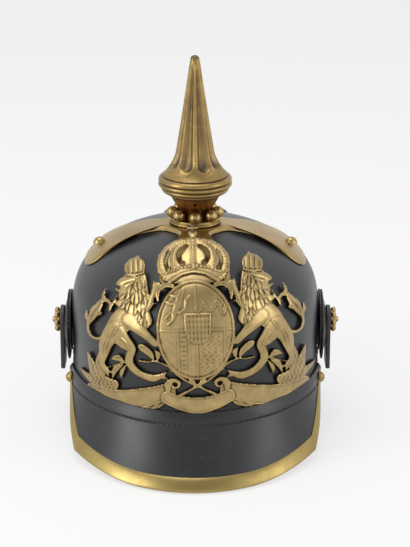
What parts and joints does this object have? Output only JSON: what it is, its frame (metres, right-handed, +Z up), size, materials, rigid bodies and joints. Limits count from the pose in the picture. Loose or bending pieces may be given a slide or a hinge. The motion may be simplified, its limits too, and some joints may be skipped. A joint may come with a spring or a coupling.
{
  "type": "spiked leather helmet",
  "caption": "Black leather spiked helmet with a brass-edged visor, pierced lion plate, cross base, screw-in fluted spike, cockades and strap ends.",
  "frame": {"origin": "on the table under the spike's axis, midway between the front trim and the foot of the rear spine", "axes": "+Z up along the spike, the visor faces -Y, +X to the right as seen from in front"},
  "size_m": [0.207, 0.2825, 0.2665],
  "materials": {
    "black_leather": "polished black leather with a soft sheen",
    "strap_leather": "worn dark leather",
    "tan_leather": "tan leather, worn smooth",
    "green_leather": "thin dyed leather",
    "red_leather": "thin dyed leather",
    "black_thread": "waxed linen thread",
    "silk": "brown silk, slightly glossy",
    "brass": "aged polished brass",
    "copper_brass": "brass gone coppery brown",
    "black_paint": "black lacquer on pressed sheet",
    "fibre": "greased leather washer"
  },
  "bodies": {
    "helmet": {"skull": "black_leather", "front_visor": "black_leather", "front_visor_lining": "green_leather", "neck_guard": "black_leather", "neck_guard_lining": "red_leather", "visor_stitching": "black_thread", "neck_guard_stitching": "black_thread", "sweatband": "tan_leather", "silk_lining": "silk", "visor_trim": "brass", "trim_studs": "brass", "trim_stud_washers": "brass", "rear_spine": "brass", "spine_screws": "brass", "spine_screw_nuts": "brass", "spike_base": "brass", "base_studs": "brass", "base_stud_nuts": "brass", "front_arm_screw": "brass", "base_clamp_ring": "brass", "base_collar": "brass", "pearl_ring": "brass", "spike_neck": "copper_brass", "neck_screw_ring": "brass", "helmet_plate": "brass", "plate_posts": "brass", "plate_post_washers": "tan_leather", "plate_post_nuts": "brass", "left_backing_disc": "black_leather", "left_rosette": "brass", "left_post_washer": "brass", "left_post_nut": "brass", "right_backing_disc": "black_leather", "right_rosette": "brass", "right_post_washer": "brass", "right_post_nut": "brass"},
    "spike_washer": {"spike_washer": "fibre"},
    "spike": {"spike": "brass"},
    "left_cockade": {"left_cockade": "black_paint"},
    "left_strap_end": {"left_strap_end": "strap_leather"},
    "right_cockade": {"right_cockade": "black_paint"},
    "right_strap_end": {"right_strap_end": "strap_leather"}
  },
  "joints": [
    {"name": "spike_turn", "type": "hinge", "parent": "spike_washer", "child": "spike", "pos_m": [0, 0, 0.1672], "axis": [0, 0, 1], "range_deg": [0, 1440]},
    {"name": "spike_lift", "type": "slide", "parent": "helmet", "child": "spike_washer", "axis": [0, 0, 1], "range_m": [0, 0.00701]},
    {"name": "left_strap_swing", "type": "hinge", "parent": "helmet", "child": "left_strap_end", "pos_m": [-0.0958, 0, 0.0725], "axis": [1, 0, 0], "range_deg": [-110, 110]},
    {"name": "left_cockade_turn", "type": "hinge", "parent": "helmet", "child": "left_cockade", "pos_m": [-0.091, 0, 0.0689], "axis": [1, 0, 0], "continuous": true},
    {"name": "right_strap_swing", "type": "hinge", "parent": "helmet", "child": "right_strap_end", "pos_m": [0.0958, 0, 0.0725], "axis": [1, 0, 0], "range_deg": [-110, 110]},
    {"name": "right_cockade_turn", "type": "hinge", "parent": "helmet", "child": "right_cockade", "pos_m": [0.091, 0, 0.0689], "axis": [1, 0, 0], "continuous": true}
  ],
  "couplings": [
    {"joint": "spike_lift", "follows": "spike_turn", "m_per_rad": 0.0002785}
  ]
}
